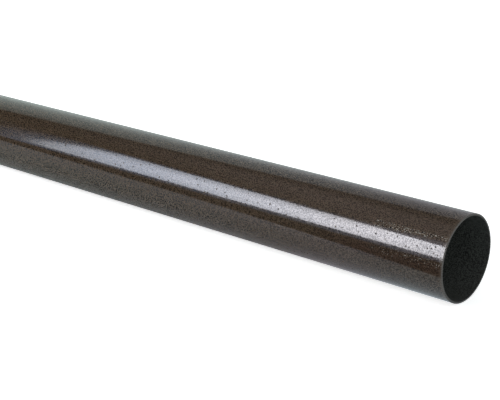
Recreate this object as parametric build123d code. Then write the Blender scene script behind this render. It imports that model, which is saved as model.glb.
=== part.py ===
from build123d import *
import os

# A round downpipe: one length of rigid brown plastic tube, extruded with an even wall
# and sawn square at both ends. It lies along X on a level floor. The origin is on the
# floor, under the middle of the pipe's length, and +Z is up.

# Driving dimensions, in millimetres
OUTSIDE_DIAMETER = 68.0  # the size it is sold by, which sockets and clips fit round
WALL = 1.6  # even all round, as the die leaves it
LENGTH = 2500.0  # one stock length
OUTER_EDGE_BREAK = 0.4  # bevel round the outside of each sawn end
INNER_EDGE_BREAK = 0.2  # smaller bevel where the blade leaves the bore

# Sizes that follow from them
outer_radius = OUTSIDE_DIAMETER / 2
bore_radius = outer_radius - WALL
axis_height = outer_radius  # the pipe rests on the lowest line of its outer face


def wall_section():
    """The ring that the die gives the pipe, drawn on the plane of the -X end."""
    sawn_plane = Plane(origin=(-LENGTH / 2, 0, axis_height), z_dir=(1, 0, 0))
    return sawn_plane * (Circle(outer_radius) - Circle(bore_radius))


def extruded_tube():
    """The ring drawn out over the whole length."""
    return extrude(wall_section(), amount=LENGTH)


def edges_of_radius(tube, radius):
    """The circles of that radius, one at each end of the tube."""
    circles = tube.edges().filter_by(GeomType.CIRCLE)
    return circles.filter_by(lambda edge: abs(edge.radius - radius) < WALL / 4)


def with_broken_edges(tube):
    """Both sawn ends with their sharp edges taken off, outside and in the bore."""
    tube = chamfer(edges_of_radius(tube, outer_radius), OUTER_EDGE_BREAK)
    return chamfer(edges_of_radius(tube, bore_radius), INNER_EDGE_BREAK)


def make_downpipe():
    return with_broken_edges(extruded_tube())


os.makedirs("parts", exist_ok=True)
downpipe = make_downpipe()
export_step(downpipe, "parts/downpipe.step")
print("downpipe volume", round(downpipe.volume / 1000.0, 1), "cm3")
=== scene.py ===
# %% [markdown]
# # A round brown downpipe
#
# A downpipe carries rainwater from a gutter to the drain. This one is a single length of
# rigid plastic tube. It came out of a round die, was cooled, and was sawn square at both
# ends. There is nothing else to it, so the likeness rests on three things: a true tube
# with a thin wall, a skin that is glossy but not a mirror, and a studio whose lights and
# dark cards draw the long stripes that a glossy tube shows.
#
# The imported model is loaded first. It says where the pipe lies and how large it is.

# %% Load the frame
import math
import bpy
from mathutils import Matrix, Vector


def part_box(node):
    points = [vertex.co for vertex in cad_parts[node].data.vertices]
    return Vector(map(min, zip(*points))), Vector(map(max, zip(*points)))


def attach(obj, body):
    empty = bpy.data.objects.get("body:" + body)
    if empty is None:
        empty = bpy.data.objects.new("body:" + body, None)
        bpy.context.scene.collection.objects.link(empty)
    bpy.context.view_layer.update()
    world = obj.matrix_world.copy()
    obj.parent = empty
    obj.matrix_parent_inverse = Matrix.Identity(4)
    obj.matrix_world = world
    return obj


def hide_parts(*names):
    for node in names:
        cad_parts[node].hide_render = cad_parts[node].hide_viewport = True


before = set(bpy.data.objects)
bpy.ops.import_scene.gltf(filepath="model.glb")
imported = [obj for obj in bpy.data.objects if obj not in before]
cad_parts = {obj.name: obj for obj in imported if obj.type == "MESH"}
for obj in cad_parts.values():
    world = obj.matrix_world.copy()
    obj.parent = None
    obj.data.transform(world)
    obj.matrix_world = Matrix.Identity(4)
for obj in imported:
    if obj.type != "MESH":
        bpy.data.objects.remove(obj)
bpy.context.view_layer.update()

low_corner, high_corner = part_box("downpipe")
print("pipe from", tuple(low_corner), "to", tuple(high_corner))

# %% [markdown]
# The pipe's own sizes come next, in metres. Its length and height are read from the
# frame, so that the dressed pipe can't drift away from the solid. Only the wall and the
# two broken edges are written down, because a box can't tell them.

# %% Sizes of the pipe
pipe_length = high_corner.x - low_corner.x
outer_radius = (high_corner.z - low_corner.z) / 2
wall = 0.0016
outer_edge_break = 0.0004
inner_edge_break = 0.0002
bore_radius = outer_radius - wall
axis_height = low_corner.z + outer_radius
print("length", round(pipe_length, 4), "outer radius", round(outer_radius, 4))

# %% [markdown]
# ## The camera
#
# The photograph looks along the pipe from beside its open end, a little from above. The
# two outlines of the pipe run towards one vanishing point, and the open end is an
# ellipse, so together they fix the lens, the height and the turn of the camera. A camera
# is placed by its position and two angles, which is how a photographer would note it.

# %% Camera
camera_place = Vector((1.66831, -0.72179, 0.35562))
camera_turn = math.radians(41.014)
camera_tilt = math.radians(18.643)
camera_lens = 86.841

camera_data = bpy.data.cameras.new("camera")
camera_data.lens = camera_lens
camera_data.sensor_width = 36.0
camera_data.clip_start = 0.01
camera = bpy.data.objects.new("camera", camera_data)
camera.location = camera_place
camera.rotation_euler = (math.pi / 2 - camera_tilt, 0, camera_turn)
bpy.context.scene.collection.objects.link(camera)
bpy.context.scene.camera = camera
bpy.context.scene.view_settings.view_transform = "Standard"
print("camera looks from", tuple(camera_place))

# %% [markdown]
# ## Modelling the tube
#
# A tube could be a cylinder with its caps taken off, but the real pipe starts as a ring
# in a die, and modelling can follow that. A circle is added at the far end, standing
# across the pipe's axis. In edit mode its edge is drawn out over the whole length, which
# gives the outer skin. The ring has many sides, because a glossy tube shows every facet
# in its reflections.

# %% Helpers for selecting by place
def only(piece):
    """Make one object the selected and active one."""
    bpy.ops.object.select_all(action="DESELECT")
    piece.select_set(True)
    bpy.context.view_layer.objects.active = piece

def select_edges(piece, wanted):
    """Select the edges whose two ends, given as places, pass a test. Ends in edit mode."""
    bpy.ops.object.mode_set(mode="EDIT")
    bpy.ops.mesh.select_mode(type="EDGE")
    bpy.ops.mesh.select_all(action="DESELECT")
    bpy.ops.object.mode_set(mode="OBJECT")
    points = piece.data.vertices
    for edge in piece.data.edges:
        edge.select = wanted(*(points[i].co for i in edge.vertices))
    bpy.ops.object.mode_set(mode="EDIT")

def radius_of(place):
    """How far a place lies from the pipe's axis."""
    return math.hypot(place.y, place.z - axis_height)

# %% Draw the ring out into a skin
ring_sides = 192

bpy.ops.object.select_all(action="DESELECT")
bpy.ops.mesh.primitive_circle_add(
    vertices=ring_sides,
    radius=outer_radius,
    fill_type="NOTHING",
    location=(low_corner.x, 0, axis_height),
    rotation=(0, math.pi / 2, 0),
)
tube = bpy.context.object
tube.name = "pipe_tube"
bpy.ops.object.transform_apply(location=True, rotation=True, scale=True)
bpy.ops.object.mode_set(mode="EDIT")
bpy.ops.mesh.select_mode(type="EDGE")
bpy.ops.mesh.select_all(action="SELECT")
bpy.ops.mesh.extrude_region_move(TRANSFORM_OT_translate={"value": (pipe_length, 0, 0)})
bpy.ops.mesh.select_all(action="SELECT")
bpy.ops.mesh.normals_make_consistent(inside=False)
bpy.ops.object.mode_set(mode="OBJECT")
print("skin faces", len(tube.data.polygons))

# %% [markdown]
# An open skin has no inside, so the recalculated normals may agree with each other and
# still all point at the axis. One face tells which way they went, and the whole skin is
# turned if it was the wrong one. The wall needs this: it grows against the normals.

# %% Make the skin face outwards
sample = tube.data.polygons[0]
from_axis = Vector((0, sample.center.y, sample.center.z - axis_height))
if sample.normal.dot(from_axis) < 0:
    tube.data.flip_normals()
print("first face points outwards", tube.data.polygons[0].normal.dot(from_axis) > 0)

# %% [markdown]
# The skin becomes a wall with a Solidify modifier. Its offset of -1 puts all the
# thickness inwards, so the outside keeps the size that the pipe is sold by. Even
# thickness and a filled rim give the flat rings that the saw leaves at both ends.

# %% Give the skin its wall
solidify = tube.modifiers.new("wall", "SOLIDIFY")
solidify.thickness = wall
solidify.offset = -1
solidify.use_even_offset = True
solidify.use_rim = True
only(tube)
bpy.ops.object.modifier_apply(modifier=solidify.name)
print("faces with the wall", len(tube.data.polygons))

# %% [markdown]
# A saw leaves sharp corners, and someone takes them off with a knife or a file, more on
# the outside than in the bore. The four end circles are selected by their place, and the
# bevel operator cuts a narrow flat on each. These flats are small, but they catch the
# light as the thin pale line round the open end.

# %% Break the sawn edges
end_tolerance = 1e-5

def is_end(place):
    from_ends = (abs(place.x - low_corner.x), abs(place.x - high_corner.x))
    return min(from_ends) < end_tolerance

def break_edges(piece, radius, size):
    """Bevel the two end circles of one radius."""
    def on_circle(place):
        return is_end(place) and abs(radius_of(place) - radius) < wall / 4
    select_edges(piece, lambda start, end: on_circle(start) and on_circle(end))
    bpy.ops.mesh.bevel(offset=size, segments=1, affect="EDGES")
    bpy.ops.object.mode_set(mode="OBJECT")

break_edges(tube, outer_radius, outer_edge_break)
break_edges(tube, bore_radius, inner_edge_break)
print("faces with broken edges", len(tube.data.polygons))

# %% [markdown]
# The long faces run the whole length of the pipe. They are cut into shorter ones, so that
# no face is a thousand times longer than it is wide. Their long edges are the ones whose
# two ends lie far apart along the pipe. Smooth shading then rounds the facets, and the
# corners of the sawn ends stay crisp, because they turn by more than 30 degrees.

# %% Divide the long faces and shade them
lengths_along = 48
crisp_from = math.radians(30)

select_edges(tube, lambda start, end: abs(start.x - end.x) > pipe_length / 2)
bpy.ops.mesh.subdivide(number_cuts=lengths_along - 1)
bpy.ops.object.mode_set(mode="OBJECT")
only(tube)
bpy.ops.object.shade_smooth_by_angle(angle=crisp_from)
print("faces in all", len(tube.data.polygons))

# %% [markdown]
# ## Unrolling the tube
#
# When the pipe is exported, its finish is painted into one square image, and a map says
# which face goes where. A pipe 2.5 m long makes a poor fit for a square, so it is cut
# into four lengths that lie side by side, each slit along the bottom and rolled flat. The
# skin gets two thirds of the square, because it is what people see. The bore gets less,
# and the two sawn rings get a thin row each.

# %% Roll the faces out on a map
map_lengths = 4
map_gap = 0.004
skin_rows = (0.34, 0.998)
bore_rows = (0.09, 0.33)
ring_rows = {"near": (0.05, 0.08), "far": (0.01, 0.04)}
sawn_lean = 0.2

def turn_of(place, near=0.5):
    """How far round the pipe a place is, from 0 at the bottom to 1, on the side of near."""
    turn = (math.atan2(place.z - axis_height, place.y) + math.pi / 2) / (2 * math.pi) % 1
    return turn + round(near - turn) if abs(near - turn) > 0.5 else turn

def between(rows, share):
    return rows[0] + (rows[1] - rows[0]) * share

def is_sawn(face):
    """Whether a face looks along the pipe, as the rings and their broken edges do."""
    return abs(face.normal.x) > sawn_lean

def is_bore(face):
    return not is_sawn(face) and radius_of(face.center) < outer_radius - wall / 2

unrolled = tube.data.uv_layers.new(name="OFBake")
for face in tube.data.polygons:
    face_turn = turn_of(face.center)
    along_face = (face.center.x - low_corner.x) / pipe_length * map_lengths
    strip = int(along_face)
    for corner in face.loop_indices:
        place = tube.data.vertices[tube.data.loops[corner].vertex_index].co
        turn = turn_of(place, near=face_turn)
        if is_sawn(face):
            rows = ring_rows["near" if face.center.x > 0 else "far"]
            spot = (between((map_gap, 1 - map_gap), turn),
                    between(rows, (outer_radius - radius_of(place)) / wall))
        else:
            along = (place.x - low_corner.x) / pipe_length * map_lengths - strip
            across = between((map_gap, 1 - map_gap), turn)
            rows = bore_rows if is_bore(face) else skin_rows
            spot = ((strip + across) / map_lengths, between(rows, along))
        unrolled.data[corner].uv = spot
print("map strips", map_lengths, "corners", len(unrolled.data))

# %% [markdown]
# ## Materials
#
# The plastic is one, but it shows three faces: the glossy skin that the die polished, the
# matt rings that the saw tore, and the dull bore that hung in air while it cooled. Each
# is built from nodes that read the pipe's own coordinates, in metres, so a grain of one
# millimetre is one millimetre. A few helpers keep the building of nodes short.

# %% Helpers for node materials
def add_node(tree, kind, inputs=None, **settings):
    """Add a node. Its inputs are given as values, or as the outputs that feed them."""
    node = tree.nodes.new(kind)
    for name, value in settings.items():
        setattr(node, name, value)
    for socket, value in (inputs or {}).items():
        if isinstance(value, bpy.types.NodeSocket):
            tree.links.new(value, node.inputs[socket])
        else:
            node.inputs[socket].default_value = value
    return node

def new_finish(name):
    """A material with one plain shader. Returns its node tree and the shader."""
    material = bpy.data.materials.new(name)
    material.use_nodes = True
    tree = material.node_tree
    tree.nodes.clear()
    shader = add_node(tree, "ShaderNodeBsdfPrincipled")
    add_node(tree, "ShaderNodeOutputMaterial", {"Surface": shader.outputs["BSDF"]})
    return material, tree, shader

def sum_of(tree, operation, *values):
    """One step of arithmetic on values or outputs."""
    inputs = dict(enumerate(values))
    return add_node(tree, "ShaderNodeMath", inputs, operation=operation).outputs["Value"]

def ramp_of(tree, value, start, end, low=0.0, high=1.0):
    """Stretch the part of a value between start and end to low and high, and clamp it."""
    inputs = {"Value": value, "From Min": start, "From Max": end, "To Min": low, "To Max": high}
    return add_node(tree, "ShaderNodeMapRange", inputs).outputs["Result"]

def band_of(tree, value, start, full, fading, end):
    """1 where a value lies between full and fading, down to 0 at start and at end."""
    rising = ramp_of(tree, value, start, full)
    return sum_of(tree, "MULTIPLY", rising, ramp_of(tree, value, fading, end, 1.0, 0.0))

def scaled(tree, colour, share):
    """A colour made lighter or darker by a share."""
    return add_node(tree, "ShaderNodeVectorMath", {0: colour, "Scale": share},
                    operation="SCALE").outputs["Vector"]

def colour_between(tree, share, first, second):
    """The colour that lies a share of the way from the first to the second."""
    inputs = {"Factor": share, "A": first, "B": second}
    return add_node(tree, "ShaderNodeMix", inputs, data_type="RGBA").outputs["Result"]

def noise_of(tree, place, grain, detail=2.0, stretch=(1, 1, 1), move=(0, 0, 0)):
    """Noise whose blobs are about one grain wide, in metres, or stretched along an axis."""
    scale = tuple(1 / (grain * share) for share in stretch)
    spot = add_node(tree, "ShaderNodeMapping", {"Vector": place, "Scale": scale, "Location": move})
    inputs = {"Vector": spot.outputs["Vector"], "Scale": 1.0, "Detail": detail}
    return add_node(tree, "ShaderNodeTexNoise", inputs).outputs["Fac"]

def place_of(tree):
    return add_node(tree, "ShaderNodeTexCoord").outputs["Object"]

# %% [markdown]
# ### The glossy skin
#
# The marks on the skin belong to places: the top gathers dust, the ends get worn, and the open end
# carries painted glints. Three measures find them. One is how far along the pipe a spot lies. One
# is its angle round the pipe, which is nought at the front and 90 degrees at the top. The last is
# how far it is from the nearer sawn end.
#
# In the steps below, something often changes along a stretch of the pipe. Both ends of a
# stretch are given by how far they lie from the open end, in metres, so that the marks
# stay with that end if the pipe gets another length. Sides are four angles, in degrees:
# where a band along the pipe starts, where it is full, where it starts to fade, and where
# it ends.

# %% Places on the skin
skin, tree, skin_shader = new_finish("glossy_brown_skin")
place = place_of(tree)
spot = add_node(tree, "ShaderNodeSeparateXYZ", {"Vector": place})
along_pipe = spot.outputs["X"]
above_axis = sum_of(tree, "SUBTRACT", spot.outputs["Z"], axis_height)
in_front = sum_of(tree, "MULTIPLY", spot.outputs["Y"], -1.0)
round_pipe = sum_of(tree, "ARCTAN2", above_axis, in_front)
from_low = sum_of(tree, "SUBTRACT", along_pipe, low_corner.x)
from_high = sum_of(tree, "SUBTRACT", high_corner.x, along_pipe)
from_end = sum_of(tree, "MINIMUM", from_low, from_high)

open_end = high_corner.x

def before_end(start, end):
    """Two places along the pipe, given by how far they lie from its open end."""
    return (open_end - start, open_end - end)

def side_band(*turns):
    """A band along the pipe, given by its sides."""
    return band_of(tree, round_pipe, *[math.radians(turn) for turn in turns])

print("nodes that find a place", len(tree.nodes))

# %% [markdown]
# Dust lies along the top of the pipe, and some was taken up from the floor low at the
# front. It catches in the grain of the skin. On the top it makes the mottle of the
# colour stronger, and low at the front, where the skin mirrors the floor, mostly the
# mottle of the shine. Near the open end hands have wiped both bands almost clean.

# %% Dusty bands
top_sides = (66, 80, 100, 115)
low_sides = (-90, -70, -20, -5)
top_wiped = before_end(0.15, 0.05)
low_wiped = before_end(0.27, 0.15)
top_dust = 0.8
low_dust = 1.0
dust_left = 0.1
low_in_colour = 0.3
low_in_shine = 1.9

dust_on_top = sum_of(tree, "MULTIPLY", side_band(*top_sides),
                     ramp_of(tree, along_pipe, *top_wiped, top_dust, dust_left))
dust_below = sum_of(tree, "MULTIPLY", side_band(*low_sides),
                    ramp_of(tree, along_pipe, *low_wiped, low_dust, dust_left))
dusty_colour = sum_of(tree, "MULTIPLY_ADD", dust_below, low_in_colour, dust_on_top)
dusty_shine = sum_of(tree, "MULTIPLY_ADD", dust_below, low_in_shine, dust_on_top)
print("dusty bands between", top_sides[0], "and", top_sides[-1], "degrees, and between",
      low_sides[0], "and", low_sides[-1])

# %% [markdown]
# The open end carries painted glints: a row of pale dots with dark grains between them, painted
# just above the bright stripe where a thin line of light is mirrored. It is made of two thin lines
# along the pipe. One keeps its height, the other climbs towards it by so many degrees for each
# metre, and they meet at the end. Half their width is divided by the radius, which makes it an
# angle. A sparser row of painted glints lies below the stripe.

# %% Painted glints
glint_length = 0.067
glint_start = open_end - glint_length
glint_fade = 0.007
glint_height = math.radians(40.3)
climb_length = 0.060
climb_from = open_end - climb_length
climb_start = math.radians(35.0)
climb = math.radians(90)
glint_core = 0.0006 / outer_radius
glint_edge = 0.0017 / outer_radius
low_glint_sides = (-0.6, 2.9, 12, 15.5)
low_glint_fade = 0.017
low_glint_share = 0.7

def thin_line(height):
    away = sum_of(tree, "SUBTRACT", round_pipe, height)
    return band_of(tree, away, -glint_edge, -glint_core, glint_core, glint_edge)

climbed = sum_of(tree, "MULTIPLY", sum_of(tree, "SUBTRACT", along_pipe, climb_from), climb)
climbing = sum_of(tree, "ADD", climbed, climb_start)
glint_lines = sum_of(tree, "MAXIMUM", thin_line(climbing), thin_line(glint_height))
glint_band = sum_of(tree, "MULTIPLY", glint_lines,
             ramp_of(tree, along_pipe, glint_start, glint_start + glint_fade))
low_glint_band = sum_of(tree, "MULTIPLY", side_band(*low_glint_sides),
                 ramp_of(tree, along_pipe, glint_start, glint_start + low_glint_fade,
                         0.0, low_glint_share))
# The painted glints cover the last stretch before the open end.
print("rubbed over the last", glint_length, "m")

# %% [markdown]
# Seen close, the brown isn't even. The pigment is mixed into the plastic as grains, and
# the skin has a fine mottle of lighter and darker, redder and greener spots about a
# millimetre wide. Two noises make it: one changes how light the brown is, the other
# leans its hue. A third, drawn out along the pipe, gives the faint streaks in which the
# melt flowed out of the die. Most values of a noise crowd round its middle, so each noise
# is stretched from the span that they fill. The mottle gets fainter towards the open end,
# and there the brown is a little deeper and redder low at the front.

# %% Colour of the skin
brown = (0.0450, 0.0315, 0.0215, 1)
pigment_grain = 0.0009
grain_span = (0.37, 0.63)
hue_grain = 2 * pigment_grain
hue_span = (0.35, 0.65)
hue_lean = 0.02
streak_width = 0.003
streak_span = (0.3, 0.7)
streak_shades = (0.95, 1.05)
fading_stretch = before_end(0.45, 0.05)
far_contrast = 0.76
near_contrast = 0.54
glint_contrast = 0.45
darkest = -0.95
deep_sides = (-9, -3.5, 3, 20)
deep_stretch = before_end(0.12, 0.07)
deep_share = (0.84, 0.76, 0.80, 1)

def leant(colour, lean):
    """A colour leant towards red or, below nought, towards green."""
    red, green, blue, _ = colour
    return (red * (1 + lean), green * (1 - lean), blue, 1)

mottle = ramp_of(tree, noise_of(tree, place, pigment_grain, detail=0), *grain_span, -1.0, 1.0)
hue_mottle = noise_of(tree, place, hue_grain, move=(3, 7, 1))
streaks = noise_of(tree, place, streak_width, stretch=(200, 1, 1))

contrast = ramp_of(tree, along_pipe, *fading_stretch, far_contrast, near_contrast)
# In the band of painted glints the mottle is made stronger, which paints dark grains between the
# glints.
glints_and_dust = sum_of(tree, "MAXIMUM", sum_of(tree, "MULTIPLY", glint_band, glint_contrast), dusty_colour)
contrast = sum_of(tree, "ADD", contrast, glints_and_dust)
grains = sum_of(tree, "MAXIMUM", sum_of(tree, "MULTIPLY", mottle, contrast), darkest)
lightness = sum_of(tree, "ADD", grains, ramp_of(tree, streaks, *streak_span, *streak_shades))
leaning = colour_between(tree, ramp_of(tree, hue_mottle, *hue_span),
                         leant(brown, -hue_lean), leant(brown, hue_lean))
low_front = sum_of(tree, "MULTIPLY", side_band(*deep_sides),
                   ramp_of(tree, along_pipe, *deep_stretch))
deepening = colour_between(tree, low_front, (1, 1, 1, 1), deep_share)
tinted = add_node(tree, "ShaderNodeVectorMath",
                  {0: scaled(tree, leaning, lightness), 1: deepening}, operation="MULTIPLY")
skin_colour = tinted.outputs["Vector"]
print("grains", 1000 * pigment_grain, "mm wide")

# %% [markdown]
# A pipe that was carried picks up pale flecks. A Voronoi texture splits space into cells, and each
# cell has a random colour. Only the few cells whose number is high get a fleck, which is the small
# ball round the cell's point where it cuts the skin. The painted glints have the same pale colour.
# They are the peaks of a noise.

# %% Flecks and painted glints
fleck_spacing = 0.012
fleck_size = 0.0006
fleck_from = 0.80
fleck_and_glint_pale = (0.30, 0.28, 0.25, 1)
cells = add_node(tree, "ShaderNodeTexVoronoi", {"Vector": place, "Scale": 1 / fleck_spacing})
cell_number = add_node(tree, "ShaderNodeSeparateColor", {"Color": cells.outputs["Color"]})
chosen = sum_of(tree, "GREATER_THAN", cell_number.outputs["Red"], fleck_from)
near_point = ramp_of(tree, cells.outputs["Distance"], fleck_size / fleck_spacing, 0, 0, 1)
flecks = sum_of(tree, "MULTIPLY", chosen, near_point)

glint_grain = 0.0009
glint_peaks = (0.60, 0.70)
glint_share = 0.9
low_glint_peaks = (0.70, 0.77)
# The pale dots are painted glints, the peaks of a noise inside the two bands.
glint_noise = noise_of(tree, place, glint_grain, detail=0, move=(2, 8, 6))
painted_glints = sum_of(tree, "MULTIPLY", glint_band, ramp_of(tree, glint_noise, *glint_peaks, 0.0, glint_share))
low_painted_glints = sum_of(tree, "MULTIPLY", low_glint_band, ramp_of(tree, glint_noise, *low_glint_peaks))
painted_glints = sum_of(tree, "MAXIMUM", painted_glints, low_painted_glints)
flecked_and_glinting = colour_between(tree, sum_of(tree, "MAXIMUM", flecks, painted_glints), skin_colour, fleck_and_glint_pale)
print("flecks up to", 2000 * fleck_size, "mm across")

# %% [markdown]
# Both ends knock against things. In the last few millimetres the brown is scraped paler
# and duller, with a ragged border, which a noise added to the distance gives.

# %% Worn edges
worn_brown = (0.085, 0.068, 0.052, 1)
raggedness = 0.006
rag_size = 0.004
worn_rim = 0.0025
worn_share = 0.6
wear_noise = noise_of(tree, place, rag_size, detail=2, move=(8, 3, 4))
ragged = sum_of(tree, "MULTIPLY_ADD", wear_noise, -raggedness, from_end)
worn = ramp_of(tree, ragged, -worn_rim, 0.0, worn_share, 0.0)
tree.links.new(colour_between(tree, worn, flecked_and_glinting, worn_brown), skin_shader.inputs["Base Color"])
print("worn at most", 1000 * raggedness, "mm from the ends")

# %% [markdown]
# The gloss decides how sharp the stripes of light are. This skin is smooth enough to show
# the edge of a lamp within a pixel or two, and a little less smooth towards the open end.
# It is peppered with tiny dull pits and fine scuffs along the pipe. In a bright stripe a
# pit looks dark, because it throws the light elsewhere, and beside the stripe it looks
# pale for the same reason. So the pits are made in the roughness alone, and the colour
# doesn't need to know about them.

# %% Gloss of the skin
dulling_stretch = before_end(0.45, 0.15)
far_roughness = 0.055
near_roughness = 0.085
pit_size = 0.0008
pit_peaks = (0.66, 0.78)
pit_roughness = 0.40
scuff_width = 0.0011
scuff_peaks = (0.72, 0.80)
scuff_roughness = 0.08
worn_roughness = 0.15

polished = ramp_of(tree, along_pipe, *dulling_stretch, far_roughness, near_roughness)
pits = noise_of(tree, place, pit_size, detail=1, move=(11, 5, 2))
dullness = ramp_of(tree, pits, *pit_peaks, polished, pit_roughness)
scuffs = noise_of(tree, place, scuff_width, stretch=(60, 1, 1), detail=1, move=(1, 9, 4))
rubbed = ramp_of(tree, scuffs, *scuff_peaks, 0.0, scuff_roughness)
scuffed = sum_of(tree, "ADD", dullness, rubbed)
roughness = sum_of(tree, "MULTIPLY_ADD", worn, worn_roughness, scuffed)
tree.links.new(roughness, skin_shader.inputs["Roughness"])
print("roughness from", far_roughness, "to", pit_roughness)

# %% [markdown]
# The dark grains are small hollows as well, and a hollow sends back less of the light
# that falls on it. So the same mottle also steers how strongly the skin reflects, around
# the plain value of 0.5. It does so more towards the open end and in the dusty bands. Here
# and there the skin has a nick, which hardly shines at all. Nicks are made as the flecks
# were, from the cells of a Voronoi texture.

# %% Strength of the reflections
plain_sheen = 0.5
uneven_stretch = before_end(0.20, 0.14)
far_unevenness = 0.07
near_unevenness = 0.15
dusty_unevenness = 0.2
unevenness = ramp_of(tree, along_pipe, *uneven_stretch, far_unevenness, near_unevenness)
unevenness = sum_of(tree, "MULTIPLY_ADD", dusty_shine, dusty_unevenness, unevenness)
sheen = sum_of(tree, "MULTIPLY_ADD", mottle, unevenness, plain_sheen)

nick_spacing = 0.003
nick_size = 0.0009
nick_from = 0.7
nick_share = 0.9
nick_cells = add_node(tree, "ShaderNodeTexVoronoi", {"Vector": place, "Scale": 1 / nick_spacing})
nick_number = add_node(tree, "ShaderNodeSeparateColor", {"Color": nick_cells.outputs["Color"]})
nicked = sum_of(tree, "GREATER_THAN", nick_number.outputs["Red"], nick_from)
nick_edge = nick_size / nick_spacing
nick_core = 0.6 * nick_edge
in_nick = ramp_of(tree, nick_cells.outputs["Distance"], nick_edge, nick_core, 0.0, nick_share)
unnicked = sum_of(tree, "SUBTRACT", 1.0, sum_of(tree, "MULTIPLY", nicked, in_nick))
tree.links.new(sum_of(tree, "MULTIPLY", sheen, unnicked), skin_shader.inputs["Specular IOR Level"])
skin_shader.inputs["IOR"].default_value = 1.5
print("nicks up to", 2000 * nick_size, "mm across")

# %% [markdown]
# Last comes the relief. The skin of an extruded tube is never quite flat: the grains
# stand out, it has a fine orange peel, and long shallow lines come from scratches in the
# die. None is deeper than about a hundredth of a millimetre, which only a Bump node can
# show. It bends the normals, so the edges of the bright stripe waver a little, as they do
# in the photograph.

# %% Relief of the skin
grain_depth = 0.0000024
peel_depth = 0.000012
die_line_depth = 0.000010
peel_size = 0.0016
die_line_width = 0.0022
peel = noise_of(tree, place, peel_size, detail=2, move=(5, 2, 8))
die_lines = noise_of(tree, place, die_line_width, stretch=(400, 1, 1), detail=1, move=(2, 4, 6))
depth = sum_of(tree, "ADD", sum_of(tree, "MULTIPLY", peel, peel_depth),
               sum_of(tree, "MULTIPLY", die_lines, die_line_depth))
depth = sum_of(tree, "MULTIPLY_ADD", mottle, grain_depth, depth)
relief = add_node(tree, "ShaderNodeBump", {"Height": depth, "Distance": 1.0})
tree.links.new(relief.outputs["Normal"], skin_shader.inputs["Normal"])
print("skin nodes", len(tree.nodes))

# %% [markdown]
# ### The sawn ends
#
# A saw doesn't polish. Its teeth tear the plastic, so the cut is matt and paler than the skin, with
# straight marks that run the way the blade went. A Wave texture gives the marks, a noise bends
# them, and both feed the colour and the relief. On top of that the ring carries painted light and
# shade: it is painted paler high at the front and darker low at the back.

# %% Finish of the sawn rings
sawn, tree, sawn_shader = new_finish("sawn_brown_plastic")
place = place_of(tree)

saw_mark_spacing = 0.0012
blade_angle = math.radians(25)
mark_share = 0.4
tear_size = 0.0006
tear_span = (0.3, 0.7)
tear_depth = 0.00006
paleness_span = (0.3, 1.1)
cut_roughness = (0.45, 0.7)
light_reach = 0.05
shaded_share = 0.3
dark_cut = (0.062, 0.054, 0.047, 1)
pale_cut = (0.165, 0.150, 0.135, 1)

turned = add_node(tree, "ShaderNodeMapping", {"Vector": place, "Rotation": (blade_angle, 0, 0)})
marks = add_node(
    tree, "ShaderNodeTexWave",
    {"Vector": turned.outputs["Vector"], "Scale": math.pi / (10 * saw_mark_spacing),
     "Distortion": 3.0, "Detail": 2.0, "Detail Scale": 2.0},
    bands_direction="Z")
torn = noise_of(tree, place, tear_size, detail=3)
paleness = sum_of(tree, "MULTIPLY_ADD", marks.outputs["Fac"], mark_share, torn)
sawn_colour = colour_between(tree, ramp_of(tree, paleness, *paleness_span), dark_cut, pale_cut)
cut = add_node(tree, "ShaderNodeSeparateXYZ", {"Vector": place})
# The ring's colour is painted paler high at the front and darker low at the back, as painted light
# and shade.
back_and_low = sum_of(tree, "SUBTRACT", cut.outputs["Y"], cut.outputs["Z"])
painted_light_share = ramp_of(tree, back_and_low, -light_reach, 0.0, 1.0, shaded_share)
tree.links.new(scaled(tree, sawn_colour, painted_light_share), sawn_shader.inputs["Base Color"])
tree.links.new(ramp_of(tree, torn, *tear_span, *cut_roughness), sawn_shader.inputs["Roughness"])
cut_relief = add_node(tree, "ShaderNodeBump", {"Height": paleness, "Distance": tear_depth})
tree.links.new(cut_relief.outputs["Normal"], sawn_shader.inputs["Normal"])
print("sawn nodes", len(tree.nodes))

# %% [markdown]
# ### The bore
#
# Inside, the tube cooled in still air and never touched a polished wall, so it is dull. In the
# photograph the open end is an even, almost neutral black. The bore is therefore a dark charcoal,
# with a grain like the skin's and faint streaks along the pipe. From a few centimetres inside the
# mouth its colour is painted paler, as painted light that evens out the shade deeper in the bore.

# %% Finish of the bore
bore, tree, bore_shader = new_finish("dark_bore")
place = place_of(tree)

charcoal = (0.0390, 0.0425, 0.0390)
bore_grain_size = 0.0009
bore_grain_shades = (0.35, 1.65)
bore_streak_shades = (-0.06, 0.06)
bore_dull_span = (0.3, 0.7)
bore_roughness = (0.5, 0.7)
bore_relief_depth = 0.00005
painted_from_mouth = 0.04
mouth_lightness = 1.12
deep_painted_lightness = 2.25

bore_grain = noise_of(tree, place, bore_grain_size, detail=0, move=(6, 2, 9))
bore_streaks = noise_of(tree, place, streak_width, stretch=(80, 1, 1), move=(4, 4, 4))
spot = add_node(tree, "ShaderNodeSeparateXYZ", {"Vector": place})
from_mouth = sum_of(tree, "SUBTRACT", open_end, spot.outputs["X"])
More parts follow.
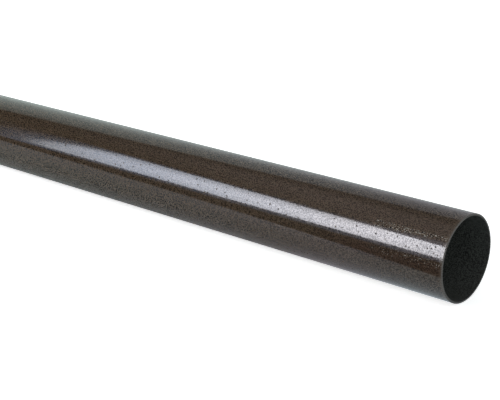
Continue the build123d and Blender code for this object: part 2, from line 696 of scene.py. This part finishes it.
# The bore's colour is painted paler deeper in, as painted light that evens out the shade away from
# the mouth.
painted_lightening = ramp_of(tree, from_mouth, 0.0, painted_from_mouth, mouth_lightness, deep_painted_lightness)
bore_shade = sum_of(tree, "ADD", ramp_of(tree, bore_grain, *grain_span, *bore_grain_shades),
                    ramp_of(tree, bore_streaks, *streak_span, *bore_streak_shades))
bore_colour = scaled(tree, charcoal, sum_of(tree, "MULTIPLY", bore_shade, painted_lightening))
tree.links.new(bore_colour, bore_shader.inputs["Base Color"])
tree.links.new(ramp_of(tree, bore_grain, *bore_dull_span, *bore_roughness),
               bore_shader.inputs["Roughness"])
bore_relief = add_node(tree, "ShaderNodeBump",
                       {"Height": bore_shade, "Distance": bore_relief_depth})
tree.links.new(bore_relief.outputs["Normal"], bore_shader.inputs["Normal"])
print("bore nodes", len(tree.nodes))

# %% [markdown]
# Each face now gets the finish that its place calls for. Then the tube is tied to the imported
# part: it rides on the part's one body and stands for the plain solid.

# %% Give each face its finish
for material in (skin, sawn, bore):
    tube.data.materials.append(material)
for face in tube.data.polygons:
    face.material_index = 1 if is_sawn(face) else 2 if is_bore(face) else 0

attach(tube, "root")
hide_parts("downpipe")
print("faces of each finish", [
    sum(face.material_index == index for face in tube.data.polygons) for index in range(3)])

# %% [markdown]
# ## The studio
#
# A glossy tube is a mirror bent round its axis. It shows the whole room, squeezed into
# stripes, and the stripes in the photograph tell what the room was like. From the top:
# a pale backdrop behind the pipe, a dark ceiling, one large softbox in front, a dark
# wall below it, and the floor that the pipe lies on. All but the backdrop and the floor
# are flat cards that only shiny surfaces see, so that each draws its stripe and lights
# nothing.
#
# The helper adds a plane and moves its four corners, which are given in the card's own
# plane: low left, low right, high left, high right.

# %% Helpers for the studio
def lay_card(name, corners, middle=(0, 0, 0), turn=(0, 0, 0)):
    bpy.ops.object.select_all(action="DESELECT")
    bpy.ops.mesh.primitive_plane_add(size=1, location=middle, rotation=turn)
    card = bpy.context.object
    card.name = name
    for point, (across, up) in zip(card.data.vertices, corners):
        point.co = (across, up, 0)
    return card

def for_reflections_only(card):
    card.visible_camera = False
    card.visible_diffuse = False
    card.visible_shadow = False
    card.visible_transmission = False

def new_glow(card):
    """Give a card a glowing material. Returns its tree, its glow and its own X and Y."""
    material = bpy.data.materials.new(card.name + "_glow")
    material.use_nodes = True
    tree = material.node_tree
    tree.nodes.clear()
    glow = add_node(tree, "ShaderNodeEmission")
    add_node(tree, "ShaderNodeOutputMaterial", {"Surface": glow.outputs["Emission"]})
    card.data.materials.append(material)
    spot = add_node(tree, "ShaderNodeSeparateXYZ", {"Vector": place_of(tree)})
    return tree, glow, spot.outputs["X"], spot.outputs["Y"]

# %% [markdown]
# The softbox stands in front of the pipe and leans over it. Its lower edge is almost
# level, its upper edge falls to the right, and its left end is slanted, which is why the
# bright stripe tapers to a point at the left of the picture.

# %% Softbox
lamp_rise = math.radians(28)
lamp_distance = 1.28
aim_height = 0.05
lamp_turn = (math.pi / 2 - lamp_rise, 0, 0)
softbox_corners = [(-0.717, -0.447), (1.0, -0.540), (-0.437, 0.482), (1.0, 0.082)]

def lamp_spot(distance):
    """The place at that distance from the pipe, on the line that the softbox aims along."""
    return (0, -distance * math.cos(lamp_rise), aim_height + distance * math.sin(lamp_rise))

softbox = lay_card("softbox", softbox_corners, middle=lamp_spot(lamp_distance), turn=lamp_turn)
for_reflections_only(softbox)
print("softbox at", tuple(round(c, 3) for c in softbox.location))

# %% [markdown]
# The cloth of the softbox isn't evenly lit. It is brightest across its middle and towards
# the camera, though its very end is slightly dimmer. It gets dimmer up to a line along
# its slanted upper edge, and less so on its right. Its foot is dimmer too, but at the far
# end a little brighter. Places on the card are metres from its middle, and shares are of
# the light that the place would have otherwise.

# %% Light of the softbox
lit_part = (-0.74, 0.40)
far_strength = 2.9
near_strength = 13.7
last_part = (0.38, 0.50)
last_share = 0.92
edge_line_slope = -0.274
edge_line_height = 0.356
dim_depth = 0.32
right_part = (0.30, 0.45)
top_shares = (0.58, 0.95)
foot_band = (-0.15, -0.45)
left_part = (-0.58, -0.25)
foot_shares = (1.12, 0.80)

tree, glow, along, up = new_glow(softbox)
by_length = sum_of(tree, "MULTIPLY",
                   ramp_of(tree, along, *lit_part, far_strength, near_strength),
                   ramp_of(tree, along, *last_part, 1.0, last_share))
edge_line = sum_of(tree, "MULTIPLY_ADD", along, edge_line_slope, edge_line_height)
below_line = sum_of(tree, "SUBTRACT", edge_line, up)
top_share = ramp_of(tree, along, *right_part, *top_shares)
towards_top = ramp_of(tree, below_line, 0.0, dim_depth, top_share, 1.0)
foot_share = ramp_of(tree, along, *left_part, *foot_shares)
towards_foot = ramp_of(tree, up, *foot_band, 1.0, foot_share)
by_height = sum_of(tree, "MULTIPLY", towards_top, towards_foot)
tree.links.new(sum_of(tree, "MULTIPLY", by_length, by_height), glow.inputs["Strength"])
print("softbox strength from", far_strength, "to", near_strength)

# %% [markdown]
# The light of the softbox is cool. It is bluest in its left half and nearly white towards
# the camera.

# %% Colour of the softbox
far_light = (0.92, 1.0, 1.12, 1)
bluer_light = (0.90, 1.0, 1.20, 1)
near_light = (1, 1, 1.08, 1)
bluer_part = (-0.65, -0.40)
whiter_part = (-0.3, 0.35)

far_colour = colour_between(tree, ramp_of(tree, along, *bluer_part), far_light, bluer_light)
lamp_colour = colour_between(tree, ramp_of(tree, along, *whiter_part), far_colour, near_light)
tree.links.new(lamp_colour, glow.inputs["Color"])
print("softbox nodes", len(tree.nodes))

# %% [markdown]
# Behind the softbox hangs its dim bluish housing. It shows as the faint blue haze round
# the stripe's pointed end, and as the thin bluish line along both of its edges. The haze
# is strongest along a slanted line just beside the softbox's left end. It fades out to
# the left of it, is a little dimmer to the right, and is brighter below the softbox.

# %% Softbox housing
behind_softbox = 0.02
housing_corners = [(-1.10, -0.54), (1.1, -0.86), (-1.10, 0.72), (1.1, 0.22)]
housing_colour = (0.55, 0.75, 1.10, 1)
end_slope = 0.30
end_place = -0.605
haze_reach = 0.33
haze_strengths = (0.85, 0.05)
beside_reach = 0.25
beside_share = 0.60
below_part = (-0.40, -0.60)
below_share = 1.6

housing = lay_card("softbox_housing", housing_corners,
                   middle=lamp_spot(lamp_distance + behind_softbox), turn=lamp_turn)
for_reflections_only(housing)
tree, glow, along, up = new_glow(housing)
slanted_end = sum_of(tree, "MULTIPLY_ADD", up, end_slope, end_place)
past_end = sum_of(tree, "SUBTRACT", slanted_end, along)
fading_left = ramp_of(tree, past_end, 0.0, haze_reach, *haze_strengths)
beside = ramp_of(tree, past_end, -beside_reach, 0.0, beside_share, 1.0)
below = ramp_of(tree, up, *below_part, 1.0, below_share)
haze = sum_of(tree, "MULTIPLY", sum_of(tree, "MULTIPLY", fading_left, beside), below)
tree.links.new(haze, glow.inputs["Strength"])
glow.inputs["Color"].default_value = housing_colour
print("housing nodes", len(tree.nodes))

# %% [markdown]
# Above its right half, the softbox has a dim rim that grows wider and a little brighter to the
# right. It is the grey fringe between the stripe and the painted glints.

# %% Softbox rim
behind_cloth = 0.01
rim_corners = [(0.20, 0.20), (0.70, 0.10), (0.20, 0.34), (0.70, 0.52)]
rim_colour = (0.85, 0.90, 1.15, 1)
rim_part = (0.25, 0.42)
rim_strengths = (0.5, 0.95)

rim = lay_card("softbox_rim", rim_corners,
               middle=lamp_spot(lamp_distance + behind_cloth), turn=lamp_turn)
for_reflections_only(rim)
tree, glow, along, _ = new_glow(rim)
rim_strength = ramp_of(tree, along, *rim_part, *rim_strengths)
tree.links.new(rim_strength, glow.inputs["Strength"])
glow.inputs["Color"].default_value = rim_colour
print("rim at", tuple(round(c, 3) for c in rim.location))

# %% [markdown]
# The dark parts of the room come next. The ceiling's back edge runs at an angle to the
# pipe, so the grey stripe along the top gets narrower towards the open end. The ceiling
# is black at the far end, and grows a little lighter towards the camera and the softbox.

# %% Dark ceiling
ceiling_height = 1.6
room_half = 9
ceiling_colour = (1.2, 1.0, 1.0, 1)
greying_part = (-1.1, 0.05)
greying_power = 1.5
depth_part = (0.5, -0.1)
ceiling_strengths = (0.12, 0.40)

def ceiling_edge(x):
    return 0.62 * x + 0.80

def corners_up_to(edge, low, left, right):
    """A card's corners, from a level low edge up to one whose height a rule gives."""
    return [(left, low), (right, low), (left, edge(left)), (right, edge(right))]

ceiling = lay_card(
    "dark_ceiling", corners_up_to(ceiling_edge, -room_half, -room_half, room_half),
    middle=(0, 0, ceiling_height))
for_reflections_only(ceiling)
tree, glow, along, across = new_glow(ceiling)
by_length = sum_of(tree, "POWER", ramp_of(tree, along, *greying_part), greying_power)
by_depth = ramp_of(tree, across, *depth_part, *ceiling_strengths)
tree.links.new(sum_of(tree, "MULTIPLY", by_length, by_depth), glow.inputs["Strength"])
glow.inputs["Color"].default_value = ceiling_colour
print("ceiling at", ceiling_height, "m")

# %% [markdown]
# A dark wall closes the room in front, below the softbox. On the floor, a dark cloth
# lies in front of the pipe. Its edge is the line where the lower dark stripe ends and
# the grey of the floor begins.

# %% Dark wall and cloth
room_distance = 3.0
room_foot = -0.01
room_top = 1.9
cloth_end = 1.35
cloth_height = 0.001
dark_strength = 0.02

def cloth_edge(x):
    return 0.2415 * x - 0.3613

def glow_evenly(card, strength):
    """Give a card the same glow all over."""
    _, glow, _, _ = new_glow(card)
    glow.inputs["Strength"].default_value = strength

room = lay_card(
    "dark_room", corners_up_to(lambda _: room_top, room_foot, -room_half, room_half),
    middle=(0, -room_distance, 0), turn=(math.pi / 2, 0, 0))
for_reflections_only(room)
glow_evenly(room, dark_strength)

cloth = lay_card(
    "dark_cloth", corners_up_to(cloth_edge, -room_distance, -room_half, cloth_end),
    middle=(0, 0, cloth_height))
for_reflections_only(cloth)
glow_evenly(cloth, dark_strength)
print("cloth lies", round(-cloth_edge(open_end), 3), "m in front of the open end")

# %% [markdown]
# The floor is white paper. It is lit like everything else and takes the pipe's shadow.
# The pipe mirrors it too, and the mirrored paper isn't the same all over. Its shade is
# picked by three measures: how far along the pipe a spot lies, how close it is to the
# pipe, and whether it is near the open end. A band here is two places across the floor.

# %% Floor
floor_half = 12.0
floor_corners = [(-floor_half, -floor_half), (floor_half, -floor_half),
                 (-floor_half, floor_half), (floor_half, floor_half)]
far_stretch = before_end(0.42, 0.11)
end_stretch = before_end(0.17, 0.04)
beside_band = (-0.16, -0.06)

floor = lay_card("floor", floor_corners)
paper = bpy.data.materials.new("white_paper")
paper.use_nodes = True
tree = paper.node_tree
tree.nodes.clear()
path = add_node(tree, "ShaderNodeLightPath")
spot = add_node(tree, "ShaderNodeSeparateXYZ", {"Vector": place_of(tree)})
past_far = ramp_of(tree, spot.outputs["X"], *far_stretch)
beside_pipe = ramp_of(tree, spot.outputs["Y"], *beside_band)
near_end = ramp_of(tree, spot.outputs["X"], *end_stretch)
print("floor", 2 * floor_half, "m wide")

# %% [markdown]
# In the photograph the mirrored paper is a grey stripe. Its colour for reflections is painted shade
# and light: it is painted greyer at the far end, and most of all in front of the pipe, and paler in
# the middle. Round the open end the paper is dark, because the shine of the next step takes its
# place there. Only reflections see these painted shades. All other rays meet plain white paper.

# %% Paper as the pipe mirrors it
paper_white = (0.8, 0.8, 0.8, 1)
painted_shade_in_front = (0.56, 0.60, 0.61, 1)
painted_shade_beside = (0.68, 0.745, 0.745, 1)
painted_light_middle = (0.92, 0.88, 0.92, 1)
dark_end = (0.16, 0.15, 0.14, 1)

# These greys are painted shade and light that only reflections see.
painted_mirror_shade = colour_between(tree, beside_pipe, painted_shade_in_front, painted_shade_beside)
painted_mirror_shade = colour_between(tree, past_far, painted_mirror_shade, painted_light_middle)
painted_mirror_shade = colour_between(tree, near_end, painted_mirror_shade, dark_end)
paper_colour = colour_between(tree, path.outputs["Is Glossy Ray"], paper_white, painted_mirror_shade)
matt = add_node(tree, "ShaderNodeBsdfDiffuse", {"Color": paper_colour})
print("paper nodes", len(tree.nodes))

# %% [markdown]
# The softbox gives the paper a soft shine, in front of the pipe and round its open end.
# It is a glow that only reflections see. A second glow is there for the camera alone. It
# lifts the open floor to the white of the photograph and leaves the shadow on it.

# %% Shine of the paper
shine_in_front = (1.0, 0.92, 1.08, 1)
shine_at_end = (0.86, 1.0, 1.10, 1)
front_strength = 0.42
front_band = (-0.045, -0.105)
growing_stretch = before_end(0.35, 0.11)
growing_shares = (0.5, 1.25)
close_band = (-0.06, -0.025)
close_strengths = (0.55, 0.60)
camera_lift = 0.72
white = (1, 1, 1, 1)

front = ramp_of(tree, spot.outputs["Y"], *front_band, 0.0, front_strength)
growing = ramp_of(tree, spot.outputs["X"], *growing_stretch, *growing_shares)
front = sum_of(tree, "MULTIPLY", front, growing)
close_by = ramp_of(tree, spot.outputs["Y"], *close_band, *close_strengths)
shine = ramp_of(tree, near_end, 0, 1, front, close_by)
sheen_of_paper = sum_of(tree, "MULTIPLY", path.outputs["Is Glossy Ray"], shine)
lift = sum_of(tree, "MULTIPLY_ADD", path.outputs["Is Camera Ray"], camera_lift, sheen_of_paper)
shine_colour = colour_between(tree, near_end, shine_in_front, shine_at_end)
lift_colour = colour_between(tree, path.outputs["Is Camera Ray"], shine_colour, white)
glow = add_node(tree, "ShaderNodeEmission", {"Color": lift_colour, "Strength": lift})
both = add_node(tree, "ShaderNodeAddShader", {0: matt.outputs["BSDF"], 1: glow.outputs["Emission"]})
add_node(tree, "ShaderNodeOutputMaterial", {"Surface": both.outputs["Shader"]})
floor.data.materials.append(paper)
print("floor nodes", len(tree.nodes))

# %% [markdown]
# The air of the studio is the world. It lights the pipe evenly with a pale grey, the
# camera sees it as white, and shiny surfaces see the backdrop: a grey that is brighter
# and greener to the left. It is dimmer the higher it is, most of all straight above the
# line of the pipe. The direction in which a ray leaves picks the shade.

# %% World
air_grey = (0.52, 0.56, 0.56, 1)
backdrop_right = (0.615, 0.625, 0.675, 1)
backdrop_left = (0.73, 0.85, 0.82, 1)
left_headings = (-0.52, -0.77)
high_headings = (0.35, 0.70)
high_share = 0.82
overhead_slopes = (0.15, 0.5)
overhead_share = 0.66

world = bpy.data.worlds.new("studio_air")
bpy.context.scene.world = world
world.use_nodes = True
tree = world.node_tree
tree.nodes.clear()
path = add_node(tree, "ShaderNodeLightPath")
direction = add_node(tree, "ShaderNodeTexCoord").outputs["Generated"]
heading = add_node(tree, "ShaderNodeSeparateXYZ", {"Vector": direction})
leftness = ramp_of(tree, heading.outputs["X"], *left_headings)
backdrop = colour_between(tree, leftness, backdrop_right, backdrop_left)
slope = sum_of(tree, "DIVIDE", heading.outputs["Y"], heading.outputs["Z"])
dimming = sum_of(tree, "MULTIPLY",
                 ramp_of(tree, heading.outputs["Z"], *high_headings, 1.0, high_share),
                 ramp_of(tree, slope, *overhead_slopes, overhead_share, 1.0))
seen_by_shiny = colour_between(tree, path.outputs["Is Glossy Ray"],
                               air_grey, scaled(tree, backdrop, dimming))
seen = colour_between(tree, path.outputs["Is Camera Ray"], seen_by_shiny, white)
air = add_node(tree, "ShaderNodeBackground", {"Color": seen})
add_node(tree, "ShaderNodeOutputWorld", {"Surface": air.outputs["Background"]})
print("world nodes", len(tree.nodes))

# %% [markdown]
# One lamp gives the light a direction. It hangs where the softbox is and is hidden from
# shiny surfaces, because they see the softbox itself. Its power is set so that a matt
# surface that faces it shows about the colour that it is given.

# %% Key lamp
key_power = 14.5
key_width = 1.6
key_height = 0.95
key_shift = Vector((0.2, 0, 0))

key_data = bpy.data.lights.new("key_lamp", "AREA")
key_data.shape = "RECTANGLE"
key_data.size = key_width
key_data.size_y = key_height
key_data.energy = key_power
key = bpy.data.objects.new("key_lamp", key_data)
key.location = Vector(lamp_spot(lamp_distance)) + key_shift
key.rotation_euler = lamp_turn
key.visible_glossy = False
key.visible_camera = False
bpy.context.scene.collection.objects.link(key)
lamp_aim = key.matrix_basis.to_3x3() @ Vector((0, 0, -1))
print("lamp points along", tuple(round(c, 3) for c in lamp_aim))
